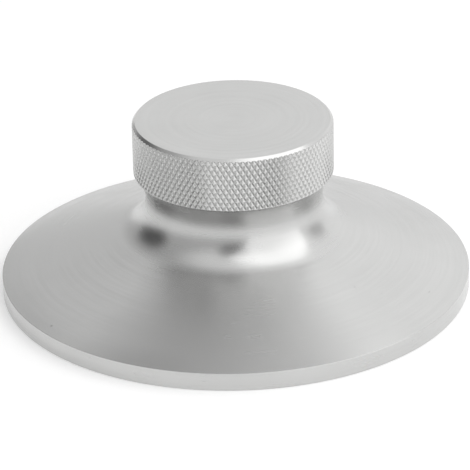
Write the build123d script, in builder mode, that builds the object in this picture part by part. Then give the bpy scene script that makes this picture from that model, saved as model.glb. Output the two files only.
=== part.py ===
"""A record weight turned from one bar of aluminium: a low cone on a straight rim, a coved waist and a
diamond-knurled knob.  It drops over the turntable spindle and presses the record flat.

The frame: origin at the middle of the underside, +Z up along the turning axis.  Lengths in millimetres,
angles in degrees.
"""
import math
import os

from build123d import *

# Base
base_diameter = 80.0
rim_height = 3.1
cone_angle = 19.6
rim_edge_round = 0.2

# Waist
waist_diameter = 30.2
cove_radius = 6.8

# Knob
overall_height = 30.4
knob_diameter = 34.0
knob_height = 9.6
knob_top_chamfer = 0.5
knob_bottom_chamfer = 0.4
knob_underside_land = 0.15

# Knurl on the knob
knurl_pitch = 0.95
knurl_angle = 30.0
knurl_depth = 0.2

# Bore for the turntable spindle
spindle_diameter = 7.2
spindle_clearance = 0.1
bore_depth = 16.0
bore_chamfer = 0.8
drill_point_angle = 118.0

# Radii and heights that follow from the sizes above
base_radius = base_diameter / 2
waist_radius = waist_diameter / 2
knob_radius = knob_diameter / 2
knob_bottom = overall_height - knob_height
underside_radius = knob_radius - knob_bottom_chamfer - knob_underside_land
bore_radius = spindle_diameter / 2 + spindle_clearance
bore_end = bore_depth + bore_radius / math.tan(math.radians(drill_point_angle / 2))

# The lower arc of the cove touches the cone and stands upright at the waist
cone_slope = math.radians(cone_angle)
cove_centre_radius = waist_radius + cove_radius
cone_under_centre = rim_height + (base_radius - cove_centre_radius) * math.tan(cone_slope)
waist_height = cone_under_centre + cove_radius / math.cos(cone_slope)
cone_top_radius = cove_centre_radius - cove_radius * math.sin(cone_slope)
cone_top_height = waist_height - cove_radius * math.cos(cone_slope)

# The knurl is a net of points round the knob, in rows that reach past its two ends
knurl_teeth = round(math.pi * knob_diameter / knurl_pitch)
knurl_columns = 2 * knurl_teeth
knurl_row_step = math.pi * knob_radius / knurl_teeth / math.tan(math.radians(knurl_angle))
knurl_rows = math.ceil(knob_height / knurl_row_step) + 1
knurl_length = knurl_rows * knurl_row_step
knurl_bottom = knob_bottom + (knob_height - knurl_length) / 2
knurl_ring_radius = knob_radius + knurl_depth


def knurl_point(column, row):
    """A crest where column and row add up to an even number, else a place where two grooves cross."""
    crest = (column + row) % 2 == 0
    radius = knob_radius if crest else knob_radius - knurl_depth
    angle = 2 * math.pi * column / knurl_columns
    return Vector(radius * math.cos(angle), radius * math.sin(angle), knurl_bottom + row * knurl_row_step)


def knurl_facets(column, row):
    """The two flat facets between four points, split along the groove that joins two crossings."""
    near = knurl_point(column, row)
    right = knurl_point(column + 1, row)
    above = knurl_point(column, row + 1)
    far = knurl_point(column + 1, row + 1)
    if (column + row) % 2 == 0:
        corner_sets = [(near, right, above), (far, above, right)]
    else:
        corner_sets = [(right, far, near), (above, near, far)]
    return [Face(Wire.make_polygon(corners, close=True)) for corners in corner_sets]


def knurl_ring_end(row):
    """The flat end of the ring that the knurling removes, open inside along the star of a row's points."""
    star = [knurl_point(column, row) for column in range(knurl_columns)]
    end_plane = Plane.XY.offset(knurl_bottom + row * knurl_row_step)
    return Face(Wire.make_circle(knurl_ring_radius, end_plane), [Wire.make_polygon(star, close=True)])


# What the knurling removes: a ring with the diamonds on its inside
knurl_ring_cylinder = Solid.make_cylinder(knurl_ring_radius, knurl_length, Plane.XY.offset(knurl_bottom))
knurl_ring_faces = knurl_ring_cylinder.faces().filter_by(GeomType.CYLINDER)
knurl_ring_faces += [knurl_ring_end(0), knurl_ring_end(knurl_rows)]
for knurl_row in range(knurl_rows):
    for knurl_column in range(knurl_columns):
        knurl_ring_faces += knurl_facets(knurl_column, knurl_row)
knurl_ring = Solid(Shell(knurl_ring_faces))

# The weight
with BuildPart() as record_weight:
    # Turned outside: rim, cone, the two arcs of the cove, and the knob with its broken edges
    with BuildSketch(Plane.XZ) as outside:
        with BuildLine():
            Polyline((0, 0), (base_radius, 0), (base_radius, rim_height), (cone_top_radius, cone_top_height))
            CenterArc((cove_centre_radius, waist_height), cove_radius, 180, 90 - cone_angle)
            TangentArc((waist_radius, waist_height), (underside_radius, knob_bottom), tangent=(0, 1))
            Polyline(
                (underside_radius, knob_bottom),
                (knob_radius - knob_bottom_chamfer, knob_bottom),
                (knob_radius, knob_bottom + knob_bottom_chamfer),
                (knob_radius, overall_height - knob_top_chamfer),
                (knob_radius - knob_top_chamfer, overall_height),
                (0, overall_height),
                (0, 0),
            )
        make_face()
        fillet(outside.vertices().group_by(Axis.X)[-1], radius=rim_edge_round)
    revolve(axis=Axis.Z)

    # Bore: a blind drilled hole with a chamfered mouth
    with BuildSketch(Plane.XZ):
        with BuildLine():
            Polyline(
                (0, 0),
                (bore_radius + bore_chamfer, 0),
                (bore_radius, bore_chamfer),
                (bore_radius, bore_depth),
                (0, bore_end),
                close=True,
            )
        make_face()
    revolve(axis=Axis.Z, mode=Mode.SUBTRACT)

    # Knurl
    add(knurl_ring, mode=Mode.SUBTRACT)

os.makedirs("parts", exist_ok=True)
record_weight.part.label = "record_weight"
export_step(record_weight.part, "parts/record_weight.step")
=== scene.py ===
"""The looks of the turned record weight: a fine lathe mesh with a real knurl, satin metal, floor and light.

Lengths are in metres, in the frame of the CAD model: the origin is the middle of the underside, +Z is up.
"""
import math

import bpy
from mathutils import Matrix, Vector


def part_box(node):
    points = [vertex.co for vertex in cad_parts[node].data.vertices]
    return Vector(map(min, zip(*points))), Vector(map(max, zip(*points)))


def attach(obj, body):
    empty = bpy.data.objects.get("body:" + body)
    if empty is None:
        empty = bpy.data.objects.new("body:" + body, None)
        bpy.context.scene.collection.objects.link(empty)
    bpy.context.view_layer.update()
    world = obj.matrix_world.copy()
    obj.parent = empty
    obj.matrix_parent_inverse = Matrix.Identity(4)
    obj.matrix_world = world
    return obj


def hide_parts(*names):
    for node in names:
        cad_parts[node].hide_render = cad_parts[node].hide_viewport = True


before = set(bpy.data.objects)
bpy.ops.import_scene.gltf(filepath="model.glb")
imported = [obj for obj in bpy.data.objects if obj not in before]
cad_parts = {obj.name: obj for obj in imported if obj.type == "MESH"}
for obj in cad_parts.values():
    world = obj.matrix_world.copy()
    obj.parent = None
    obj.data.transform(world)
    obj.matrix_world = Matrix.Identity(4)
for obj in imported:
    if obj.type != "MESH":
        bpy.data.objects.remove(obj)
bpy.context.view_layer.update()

# Sizes of the weight; the widest radius and the height come from the frame
MM = 0.001
high_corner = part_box("record_weight")[1]
BASE_RADIUS = high_corner[0]
OVERALL_HEIGHT = high_corner[2]
RIM_HEIGHT = 3.1 * MM
RIM_TOP_ROUND = 0.05 * MM
RIM_FOOT_ROUND = 0.2 * MM
CONE_SLOPE = math.radians(19.6)
WAIST_RADIUS = 15.1 * MM
COVE_RADIUS = 6.8 * MM
KNOB_RADIUS = 17.0 * MM
KNOB_HEIGHT = 9.6 * MM
KNOB_BOTTOM = OVERALL_HEIGHT - KNOB_HEIGHT
KNOB_TOP_CHAMFER = 0.5 * MM
KNOB_BOTTOM_CHAMFER = 0.4 * MM
KNOB_UNDERSIDE_LAND = 0.15 * MM
CENTRE_MARK_RADIUS = 0.6 * MM
CENTRE_MARK_DEPTH = 0.03 * MM
BORE_RADIUS = 3.7 * MM
BORE_CHAMFER = 0.8 * MM
BORE_DEPTH = 16.0 * MM
DRILL_POINT_HALF_ANGLE = math.radians(59)

# Knurl: flat-topped diamonds; the grooves between them take a share of the way from groove to crest
KNURL_TEETH = 112
KNURL_ANGLE = math.radians(30)
KNURL_DEPTH = 0.15 * MM
KNURL_GROOVE_SHARE = 2 / 3
KNURL_ROW = math.pi * KNOB_RADIUS / KNURL_TEETH / math.tan(KNURL_ANGLE)
KNURL_ROWS = math.ceil((OVERALL_HEIGHT - KNOB_BOTTOM) / KNURL_ROW) + 1
KNURL_START = (KNOB_BOTTOM + OVERALL_HEIGHT - KNURL_ROWS * KNURL_ROW) / 2

# Fineness of the mesh: a tooth of the knurl has two points round the axis, a crest and a groove crossing
POINTS_PER_TOOTH = 2
STEPS_PER_KNURL_POINT = 3
COLUMNS = POINTS_PER_TOOTH * KNURL_TEETH * STEPS_PER_KNURL_POINT
COVE_STEP = math.radians(3)
EDGE_STEP = math.radians(15)
CHAMFER_STEP = 0.05 * MM
FACE_RINGS = 4
LAND_RINGS = 2
CONE_RINGS = 5
RIM_RINGS = 2
BORE_MOUTH_RINGS = 2
BORE_RINGS = 6
BORE_TIP_RINGS = 3
SHARP_ANGLE = math.radians(15)

# Camera, solved from the edges in the photograph
PHOTO_PIXELS = 470
FOCAL_PIXELS = 3300
SENSOR_WIDTH = 36
CAMERA_ELEVATION = math.radians(25.71)
CAMERA_ROLL = math.radians(1.25)
CAMERA_DISTANCE = 564.4 * MM
AIM_HEIGHT = 8.65 * MM
NEAR_CLIP = 10 * MM


# Shape of the weight

def arc(centre, radius, start, end, step):
    """Points of a profile along an arc, from one angle to another."""
    count = math.ceil(abs(end - start) / step)
    points = []
    for number in range(count + 1):
        angle = start + (end - start) * number / count
        points.append((centre[0] + radius * math.cos(angle), centre[1] + radius * math.sin(angle)))
    return points


def line(start, end, count):
    """Points of a profile along a straight line."""
    points = []
    for number in range(count + 1):
        share = number / count
        points.append((start[0] + (end[0] - start[0]) * share, start[1] + (end[1] - start[1]) * share))
    return points


def cove_arcs():
    """The two arcs of the waist: from the knob's underside to the waist, and from there to the cone."""
    centre = WAIST_RADIUS + COVE_RADIUS
    cone_under_centre = RIM_HEIGHT + (BASE_RADIUS - centre) * math.tan(CONE_SLOPE)
    waist = cone_under_centre + COVE_RADIUS / math.cos(CONE_SLOPE)
    lip = KNOB_RADIUS - KNOB_BOTTOM_CHAMFER - KNOB_UNDERSIDE_LAND - WAIST_RADIUS
    rise = KNOB_BOTTOM - waist
    upper_radius = (lip * lip + rise * rise) / (2 * lip)
    upper_start = math.pi - math.asin(rise / upper_radius)
    upper = arc((WAIST_RADIUS + upper_radius, waist), upper_radius, upper_start, math.pi, COVE_STEP)
    lower = arc((centre, waist), COVE_RADIUS, math.pi, 1.5 * math.pi - CONE_SLOPE, COVE_STEP)
    return upper, lower


def rim_edges():
    """The small rounds at the top and at the foot of the rim."""
    reach = RIM_TOP_ROUND * math.tan((math.pi / 2 - CONE_SLOPE) / 2)
    top_centre = (BASE_RADIUS - RIM_TOP_ROUND, RIM_HEIGHT - reach)
    top = arc(top_centre, RIM_TOP_ROUND, math.pi / 2 - CONE_SLOPE, 0, EDGE_STEP)
    foot_centre = (BASE_RADIUS - RIM_FOOT_ROUND, RIM_FOOT_ROUND)
    foot = arc(foot_centre, RIM_FOOT_ROUND, 0, -math.pi / 2, EDGE_STEP)
    return top, foot


def turned_stretches():
    """The profile from the knob's underside to the tip of the bore, as (finish, points) in order."""
    upper_cove, lower_cove = cove_arcs()
    top_edge, foot_edge = rim_edges()
    land_edge = (KNOB_RADIUS - KNOB_BOTTOM_CHAMFER, KNOB_BOTTOM)
    mouth = (BORE_RADIUS + BORE_CHAMFER, 0)
    throat = (BORE_RADIUS, BORE_CHAMFER)
    bore_end = (BORE_RADIUS, BORE_DEPTH)
    bore_tip = (0, BORE_DEPTH + BORE_RADIUS / math.tan(DRILL_POINT_HALF_ANGLE))
    return [
        ("cove", line(land_edge, upper_cove[0], LAND_RINGS)),
        ("cove", upper_cove),
        ("cove", lower_cove),
        ("cone", line(lower_cove[-1], top_edge[0], CONE_RINGS)),
        ("rim", top_edge),
        ("rim", line(top_edge[-1], foot_edge[0], RIM_RINGS)),
        ("rim", foot_edge),
        ("underside", line(foot_edge[-1], mouth, FACE_RINGS)),
        ("bore", line(mouth, throat, BORE_MOUTH_RINGS)),
        ("bore", line(throat, bore_end, BORE_RINGS)),
        ("bore", line(bore_end, bore_tip, BORE_TIP_RINGS)),
    ]


def knurl_radius(column, height):
    """Radius of the knurl at a mesh column, which may be a fraction, and a height."""
    across = column / STEPS_PER_KNURL_POINT
    along = (height - KNURL_START) / KNURL_ROW
    share_across = across - math.floor(across)
    share_along = along - math.floor(along)
    crest_first = (math.floor(across) + math.floor(along)) % 2 == 0
    from_groove = abs(1 - share_across - share_along) if crest_first else abs(share_across - share_along)
    return KNOB_RADIUS - KNURL_DEPTH * max(0, 1 - from_groove / KNURL_GROOVE_SHARE)


def chamfer_radius(height):
    """Radius that the chamfers at the knob's two ends leave at a height."""
    top_loss = KNOB_TOP_CHAMFER - (OVERALL_HEIGHT - height)
    bottom_loss = KNOB_BOTTOM_CHAMFER - (height - KNOB_BOTTOM)
    return KNOB_RADIUS - max(0, top_loss, bottom_loss)


def knob_heights():
    """Heights of the mesh rows on the knob's side, from the top down."""
    top_rows = round(KNOB_TOP_CHAMFER / CHAMFER_STEP) + 1
    foot_rows = round(KNOB_BOTTOM_CHAMFER / CHAMFER_STEP) + 1
    top_zone = [OVERALL_HEIGHT - row * CHAMFER_STEP for row in range(top_rows)]
    foot_zone = [KNOB_BOTTOM + row * CHAMFER_STEP for row in range(foot_rows)]
    net_step = KNURL_ROW / STEPS_PER_KNURL_POINT
    net = [KNURL_START + row * net_step for row in range(KNURL_ROWS * STEPS_PER_KNURL_POINT + 1)]
    between = [height for height in net if foot_zone[-1] < height < top_zone[-1]]
    return top_zone + between[::-1] + foot_zone[::-1]


class Lathe:
    """Gathers rings of points round the axis into one closed mesh, from a top point to an end point."""

    def __init__(self, top_height):
        self.points = [(0, 0, top_height)]
        self.lengths = [0.0]
        self.faces = []
        self.finishes = []
        self.last_first = 0
        self.last_radii = [0.0]
        self.last_height = top_height

    def add_ring(self, radii, height):
        """Adds a ring with one radius for each column, and keeps the length walked along the profile."""
        length = self.lengths[-1] + math.hypot(radii[0] - self.last_radii[0], height - self.last_height)
        self.last_first = len(self.points)
        self.last_radii = radii
        self.last_height = height
        for column, radius in enumerate(radii):
            angle = 2 * math.pi * column / len(radii)
            self.points.append((radius * math.cos(angle), radius * math.sin(angle), height))
            self.lengths.append(length)

    def add_face(self, corners, finish):
        """Adds a face between points that are there already."""
        self.faces.append(corners)
        self.finishes.append(finish)

    def turned_band(self, radius, height, finish):
        """A band from the last ring or the top point to a new round ring or a point on the axis."""
        above = self.last_first
        above_count = len(self.last_radii)
        self.add_ring([radius] * (COLUMNS if radius > 0 else 1), height)
        below_count = len(self.last_radii)
        for column in range(COLUMNS):
            after = column + 1
            corners = (
                above + column % above_count,
                self.last_first + column % below_count,
                self.last_first + after % below_count,
                above + after % above_count,
            )
            self.add_face(tuple(dict.fromkeys(corners)), finish)

    def knob_band(self, height):
        """A band of the knob's side; each cell is split along the groove or ridge that crosses it."""
        above = self.last_first
        above_radii = self.last_radii
        middle = (self.last_height + height) / 2
        middle_limit = chamfer_radius(middle)
        limit = chamfer_radius(height)
        self.add_ring([min(limit, knurl_radius(column, height)) for column in range(COLUMNS)], height)
        for column in range(COLUMNS):
            after = (column + 1) % COLUMNS
            near_top = above + column
            far_top = above + after
            near_foot = self.last_first + column
            far_foot = self.last_first + after
            knurled = knurl_radius(column + 0.5, middle)
            radius = min(knurled, middle_limit)
            falling = (above_radii[column] + self.last_radii[after]) / 2
            rising = (above_radii[after] + self.last_radii[column]) / 2
            if abs(falling - radius) < abs(rising - radius):
                halves = [(near_top, near_foot, far_foot), (near_top, far_foot, far_top)]
            else:
                halves = [(near_top, near_foot, far_top), (near_foot, far_foot, far_top)]
            chamfered = middle_limit < KNOB_RADIUS and middle_limit <= knurled
            for half in halves:
                self.add_face(half, "chamfer" if chamfered else "knurl")


def lathe_weight():
    """The whole weight: top face, chamfered and knurled side, then the stretches down to the bore's tip."""
    lathe = Lathe(OVERALL_HEIGHT - CENTRE_MARK_DEPTH)
    mark_edge = (CENTRE_MARK_RADIUS, OVERALL_HEIGHT)
    face_edge = (KNOB_RADIUS - KNOB_TOP_CHAMFER, OVERALL_HEIGHT)
    for radius, height in line(mark_edge, face_edge, FACE_RINGS):
        lathe.turned_band(radius, height, "face")
    for height in knob_heights()[1:]:
        lathe.knob_band(height)
    for finish, points in turned_stretches():
        for radius, height in points[1:]:
            lathe.turned_band(radius, height, finish)
    return lathe


def weight_piece(lathe, finishes):
    """The piece that shows in place of the plain solid, with one material for each finish."""
    mesh = bpy.data.meshes.new("record_weight_turned")
    mesh.from_pydata(lathe.points, [], lathe.faces)
    names = list(finishes)
    for name in names:
        mesh.materials.append(finishes[name])
    mesh.polygons.foreach_set("material_index", [names.index(finish) for finish in lathe.finishes])
    mesh.shade_smooth()
    mesh.set_sharp_from_angle(angle=SHARP_ANGLE)
    profile_length = mesh.attributes.new("profile_mm", "FLOAT", "POINT")
    profile_length.data.foreach_set("value", [length / MM for length in lathe.lengths])
    mesh.update()
    piece = bpy.data.objects.new("record_weight_turned", mesh)
    bpy.context.scene.collection.objects.link(piece)
    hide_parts("record_weight")
    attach(piece, "root")


# Materials

WHITE = (1, 1, 1, 1)
METAL_COLOUR = (0.606, 0.606, 0.601, 1)
METAL_SHADE_COLOUR = (0.569, 0.570, 0.564, 1)
SPECK_COLOUR = (0.30, 0.30, 0.29, 1)

# Marks of the making: streaks round the axis, cloudy patches and a few specks, sizes in millimetres
STREAK_PITCH = 0.45
STREAK_LENGTH = 25.0
CLOUD_SIZE = 9.0
SPECK_SPACING = 4.5
SPECK_RADIUS = 0.22
SPECK_GRAIN = 0.2

# How many places of the loose net have a speck, as a share
SPECK_CHANCE = 0.4

# The part of Blender's noise that is stretched to run from nought to one, and the middle of the result
NOISE_LOW = 0.25
NOISE_HIGH = 0.75
MARKS_MIDDLE = 0.5

# How many finer layers each kind of noise has
STREAK_DETAIL = 3
CLOUD_DETAIL = 2
GRAIN_DETAIL = 3
SPECK_DETAIL = 1

# Turns the spread of the gloss from along the grooves to across them, as a share of a full turn
QUARTER_TURN = 0.25

# Places of the colours among the sockets of a Mix node, where numbers and vectors have the same names
MIX_FIRST_COLOUR = 6
MIX_SECOND_COLOUR = 7
MIX_COLOUR_RESULT = 2


def maths(tree, operation, first, second):
    """The result of one sum in a node tree; each of its two values is an output of a node or a number."""
    node = tree.nodes.new("ShaderNodeMath")
    node.operation = operation
    for socket, value in zip(node.inputs, (first, second)):
        if isinstance(value, (int, float)):
            socket.default_value = value
        else:
            tree.links.new(value, socket)
    return node.outputs["Value"]


class Finish:
    """A material of bare aluminium, to which the marks of its making are added."""

    def __init__(self, name, roughness, roughness_spread):
        self.material = bpy.data.materials.new(name)
        self.material.use_nodes = True
        self.tree = self.material.node_tree
        self.nodes = self.tree.nodes
        self.links = self.tree.links
        self.shader = self.nodes["Principled BSDF"]
        self.shader.inputs["Metallic"].default_value = 1
        self.roughness = roughness
        self.roughness_spread = roughness_spread
        place = self.nodes.new("ShaderNodeTexCoord")
        self.place = self.scaled(place.outputs["Object"], 1 / MM)

    def scaled(self, vector, factor):
        """A vector times a number."""
        node = self.nodes.new("ShaderNodeVectorMath")
        node.operation = "SCALE"
        node.inputs["Scale"].default_value = factor
        self.links.new(vector, node.inputs[0])
        return node.outputs["Vector"]

    def noise(self, vector, detail):
        """Soft noise from nought to one, with features about one unit of the vector across."""
        node = self.nodes.new("ShaderNodeTexNoise")
        node.inputs["Scale"].default_value = 1
        node.inputs["Detail"].default_value = detail
        self.links.new(vector, node.inputs["Vector"])
        spread = self.nodes.new("ShaderNodeMapRange")
        spread.inputs["From Min"].default_value = NOISE_LOW
        spread.inputs["From Max"].default_value = NOISE_HIGH
        self.links.new(node.outputs["Fac"], spread.inputs["Value"])
        return spread.outputs["Result"]

    def streaks(self):
        """Noise in long streaks round the axis, fine along the profile."""
        profile = self.nodes.new("ShaderNodeAttribute")
        profile.attribute_name = "profile_mm"
        along = maths(self.tree, "MULTIPLY", profile.outputs["Fac"], 1 / STREAK_PITCH)
        split = self.nodes.new("ShaderNodeSeparateXYZ")
        self.links.new(self.scaled(self.place, 1 / STREAK_LENGTH), split.inputs["Vector"])
        join = self.nodes.new("ShaderNodeCombineXYZ")
        self.links.new(split.outputs["X"], join.inputs["X"])
        self.links.new(split.outputs["Y"], join.inputs["Y"])
        self.links.new(along, join.inputs["Z"])
        return self.noise(join.outputs["Vector"], STREAK_DETAIL)

    def specks(self):
        """One where an uneven speck sits, at a few of the points of a loose net, else nought."""
        net = self.nodes.new("ShaderNodeTexVoronoi")
        net.inputs["Scale"].default_value = 1 / SPECK_SPACING
        self.links.new(self.place, net.inputs["Vector"])
        split = self.nodes.new("ShaderNodeSeparateColor")
        self.links.new(net.outputs["Color"], split.inputs["Color"])
        grain = self.noise(self.scaled(self.place, 1 / SPECK_GRAIN), SPECK_DETAIL)
        limit = maths(self.tree, "MULTIPLY", grain, SPECK_RADIUS / MARKS_MIDDLE / SPECK_SPACING)
        sized = maths(self.tree, "MULTIPLY", limit, split.outputs["Green"])
        near = maths(self.tree, "LESS_THAN", net.outputs["Distance"], sized)
        chosen = maths(self.tree, "LESS_THAN", split.outputs["Red"], SPECK_CHANCE)
        return maths(self.tree, "MULTIPLY", near, chosen)

    def mixed(self, factor, first, second):
        """A colour between two, each an output of a node or a plain colour."""
        node = self.nodes.new("ShaderNodeMix")
        node.data_type = "RGBA"
        self.links.new(factor, node.inputs["Factor"])
        for place, value in ((MIX_FIRST_COLOUR, first), (MIX_SECOND_COLOUR, second)):
            if isinstance(value, tuple):
                node.inputs[place].default_value = value
            else:
                self.links.new(value, node.inputs[place])
        return node.outputs[MIX_COLOUR_RESULT]

    def colour_and_roughness(self, marks, specked):
        """Lets marks from nought to one vary the colour and the roughness a little, and may add specks."""
        metal = self.mixed(marks, METAL_COLOUR, METAL_SHADE_COLOUR)
        if specked:
            metal = self.mixed(self.specks(), metal, SPECK_COLOUR)
        self.links.new(metal, self.shader.inputs["Base Color"])
        either_way = maths(self.tree, "SUBTRACT", marks, MARKS_MIDDLE)
        change = maths(self.tree, "MULTIPLY", either_way, self.roughness_spread / MARKS_MIDDLE)
        roughness = maths(self.tree, "ADD", change, self.roughness)
        self.links.new(roughness, self.shader.inputs["Roughness"])

    def relief(self, height, depth):
        """A fine relief in the surface, of a depth in millimetres."""
        bump = self.nodes.new("ShaderNodeBump")
        bump.inputs["Distance"].default_value = depth * MM
        self.links.new(height, bump.inputs["Height"])
        self.links.new(bump.outputs["Normal"], self.shader.inputs["Normal"])


def turned_metal(name, roughness, roughness_spread, anisotropy, groove_depth, specked=False):
    """Aluminium off the lathe: its gloss spreads across the grooves that run round the axis."""
    finish = Finish(name, roughness, roughness_spread)
    finish.shader.inputs["Anisotropic"].default_value = anisotropy
    finish.shader.inputs["Anisotropic Rotation"].default_value = QUARTER_TURN
    tangent = finish.nodes.new("ShaderNodeTangent")
    tangent.direction_type = "RADIAL"
    tangent.axis = "Z"
    finish.links.new(tangent.outputs["Tangent"], finish.shader.inputs["Tangent"])
    streaks = finish.streaks()
    clouds = finish.noise(finish.scaled(finish.place, 1 / CLOUD_SIZE), CLOUD_DETAIL)
    both = maths(finish.tree, "ADD", streaks, clouds)
    finish.colour_and_roughness(maths(finish.tree, "MULTIPLY", both, 1 / 2), specked)
    finish.relief(streaks, groove_depth)
    return finish.material


def pressed_metal(name, roughness, roughness_spread, grain_size, grain_depth):
    """Aluminium that a knurling wheel has pressed: a fine grain with no direction."""
    finish = Finish(name, roughness, roughness_spread)
    grain = finish.noise(finish.scaled(finish.place, 1 / grain_size), GRAIN_DETAIL)
    finish.colour_and_roughness(grain, specked=False)
    finish.relief(grain, grain_depth)
    return finish.material


def weight_finishes():
    """One metal, finished by different cuts; sizes and depths of the marks in millimetres."""
    return {
        "face": turned_metal(
            "faced_top", roughness=0.2, roughness_spread=0.06, anisotropy=0.5, groove_depth=0.002
        ),
        "chamfer": turned_metal(
            "broken_edge", roughness=0.25, roughness_spread=0.04, anisotropy=0.6, groove_depth=0.002
        ),
        "knurl": pressed_metal(
            "pressed_knurl", roughness=0.27, roughness_spread=0.04, grain_size=0.35, grain_depth=0.01
        ),
        "cove": turned_metal(
            "formed_waist", roughness=0.27, roughness_spread=0.01, anisotropy=0.75, groove_depth=0.0005
        ),
        "cone": turned_metal(
            "turned_cone", roughness=0.24, roughness_spread=0.05, anisotropy=0.85, groove_depth=0.003,
            specked=True,
        ),
        "rim": turned_metal(
            "turned_rim", roughness=0.25, roughness_spread=0.06, anisotropy=0.7, groove_depth=0.005,
            specked=True,
        ),
        "underside": turned_metal(
            "faced_underside", roughness=0.3, roughness_spread=0.06, anisotropy=0.6, groove_depth=0.008
        ),
        "bore": turned_metal(
            "drilled_bore", roughness=0.38, roughness_spread=0.06, anisotropy=0.5, groove_depth=0.015
        ),
    }


# Stage

FLOOR_COLOUR = (0.8, 0.8, 0.8, 1)
FLOOR_ROUGHNESS = 0.9
FLOOR_GLOW = 0.31
FLOOR_REACH = 3.0
FLOOR_GAP = 0.02 * MM
STUDIO_GREY = 0.52
SOFTBOX_AIM = Vector((0, 0, 12 * MM))


def floor_material():
    """Pale and matt, lifted towards white for the eye and for reflections, and clear from below."""
    material = bpy.data.materials.new("floor")
    material.use_nodes = True
    tree = material.node_tree
    shader = tree.nodes["Principled BSDF"]
    shader.inputs["Base Color"].default_value = FLOOR_COLOUR
    shader.inputs["Roughness"].default_value = FLOOR_ROUGHNESS
    shader.inputs["Specular IOR Level"].default_value = 0
    shader.inputs["Emission Color"].default_value = WHITE
    path = tree.nodes.new("ShaderNodeLightPath")
    seen = path.outputs["Is Camera Ray"]
    for ray in ("Is Glossy Ray", "Is Transmission Ray"):
        seen = maths(tree, "MAXIMUM", seen, path.outputs[ray])
    tree.links.new(maths(tree, "MULTIPLY", seen, FLOOR_GLOW), shader.inputs["Emission Strength"])
    side = tree.nodes.new("ShaderNodeNewGeometry")
    nothing = tree.nodes.new("ShaderNodeBsdfTransparent")
    one_sided = tree.nodes.new("ShaderNodeMixShader")
    share, from_above, from_below = one_sided.inputs
    tree.links.new(side.outputs["Backfacing"], share)
    tree.links.new(shader.outputs["BSDF"], from_above)
    tree.links.new(nothing.outputs["BSDF"], from_below)
    tree.links.new(one_sided.outputs["Shader"], tree.nodes["Material Output"].inputs["Surface"])
    return material


def add_floor():
    """A plain floor just under the weight, which takes its shadow."""
    mesh = bpy.data.meshes.new("floor")
    corners = [(-1, -1, 0), (1, -1, 0), (1, 1, 0), (-1, 1, 0)]
    mesh.from_pydata([FLOOR_REACH * Vector(corner) for corner in corners], [], [(0, 1, 2, 3)])
    mesh.materials.append(floor_material())
    floor = bpy.data.objects.new("floor", mesh)
    floor.location.z = -FLOOR_GAP
    bpy.context.scene.collection.objects.link(floor)


def add_camera():
    """The camera of the photograph: a long lens, looking down at the weight."""
    data = bpy.data.cameras.new("camera")
    data.sensor_width = SENSOR_WIDTH
    data.lens = SENSOR_WIDTH * FOCAL_PIXELS / PHOTO_PIXELS
    data.clip_start = NEAR_CLIP
    camera = bpy.data.objects.new("camera", data)
    bpy.context.scene.collection.objects.link(camera)
    tilt = Matrix.Rotation(math.pi / 2 - CAMERA_ELEVATION, 4, "X")
    roll = Matrix.Rotation(-CAMERA_ROLL, 4, "Z")
    back = Matrix.Translation((0, 0, CAMERA_DISTANCE))
    camera.matrix_world = Matrix.Translation((0, 0, AIM_HEIGHT)) @ tilt @ back @ roll
    bpy.context.scene.camera = camera


def direction_to(azimuth, elevation):
    """Unit vector from the weight, from degrees; azimuth 0 is the camera's side and 90 the right."""
    turn = math.radians(azimuth)
    rise = math.radians(elevation)
    return Vector((math.sin(turn) * math.cos(rise), -math.cos(turn) * math.cos(rise), math.sin(rise)))


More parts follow.
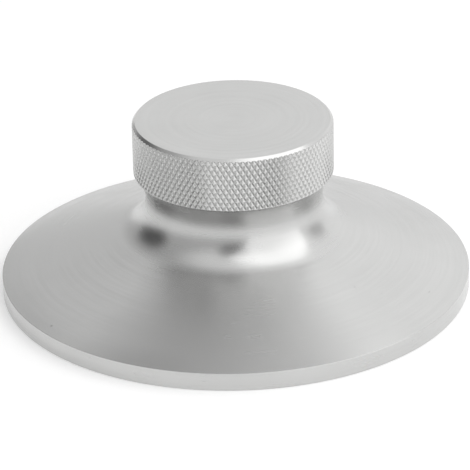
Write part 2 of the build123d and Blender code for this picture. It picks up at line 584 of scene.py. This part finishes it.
class Studio:
    """The world: an even grey, to which soft pale walls and dark gaps are added."""

    def __init__(self):
        world = bpy.data.worlds.new("studio")
        world.use_nodes = True
        self.tree = world.node_tree
        self.direction = self.tree.nodes.new("ShaderNodeTexCoord").outputs["Generated"]
        self.background = self.tree.nodes["Background"]
        self.background.inputs["Color"].default_value = WHITE
        self.light = STUDIO_GREY
        bpy.context.scene.world = world

    def add_wall(self, azimuth, elevation, full, reach, radiance):
        """A pale wall, or a dark gap if its radiance is below nought.

        It is even up to one half angle from its middle and has faded out at another, all in degrees.
        """
        facing = self.tree.nodes.new("ShaderNodeVectorMath")
        facing.operation = "DOT_PRODUCT"
        facing.inputs[1].default_value = direction_to(azimuth, elevation)
        self.tree.links.new(self.direction, facing.inputs[0])
        patch = self.tree.nodes.new("ShaderNodeMapRange")
        patch.interpolation_type = "SMOOTHSTEP"
        patch.inputs["From Min"].default_value = math.cos(math.radians(reach))
        patch.inputs["From Max"].default_value = math.cos(math.radians(full))
        patch.inputs["To Max"].default_value = radiance
        self.tree.links.new(facing.outputs["Value"], patch.inputs["Value"])
        self.light = maths(self.tree, "ADD", patch.outputs["Result"], self.light)
        self.tree.links.new(self.light, self.background.inputs["Strength"])


def add_world():
    """A pale studio: brighter behind on the right and above in front, with four dark gaps in its walls."""
    studio = Studio()
    studio.add_wall(azimuth=133, elevation=37, full=0, reach=80, radiance=0.605)
    studio.add_wall(azimuth=-16, elevation=64, full=0, reach=46, radiance=0.45)
    studio.add_wall(azimuth=-112, elevation=12, full=10, reach=30, radiance=-0.46)
    studio.add_wall(azimuth=-2, elevation=34, full=12, reach=20, radiance=-0.56)
    studio.add_wall(azimuth=-168, elevation=75, full=0, reach=29, radiance=-0.5)
    studio.add_wall(azimuth=112, elevation=10, full=4, reach=18, radiance=-0.5)


def add_softbox(name, distance, azimuth, elevation, half_width, half_height, radiance):
    """A lit panel that faces the weight and is seen from it over half angles in degrees."""
    direction = direction_to(azimuth, elevation)
    data = bpy.data.lights.new(name, "AREA")
    data.shape = "RECTANGLE"
    data.size = 2 * distance * math.tan(math.radians(half_width))
    data.size_y = 2 * distance * math.tan(math.radians(half_height))
    data.energy = math.pi * data.size * data.size_y * radiance
    lamp = bpy.data.objects.new(name, data)
    lamp.location = SOFTBOX_AIM + direction * distance
    lamp.rotation_euler = direction.to_track_quat("Z", "Y").to_euler()
    lamp.visible_camera = False
    bpy.context.scene.collection.objects.link(lamp)


weight_piece(lathe_weight(), weight_finishes())
add_floor()
add_camera()
add_world()
add_softbox("key", distance=0.45, azimuth=50, elevation=35, half_width=37, half_height=35, radiance=0.79)
bpy.context.scene.view_settings.view_transform = "Standard"
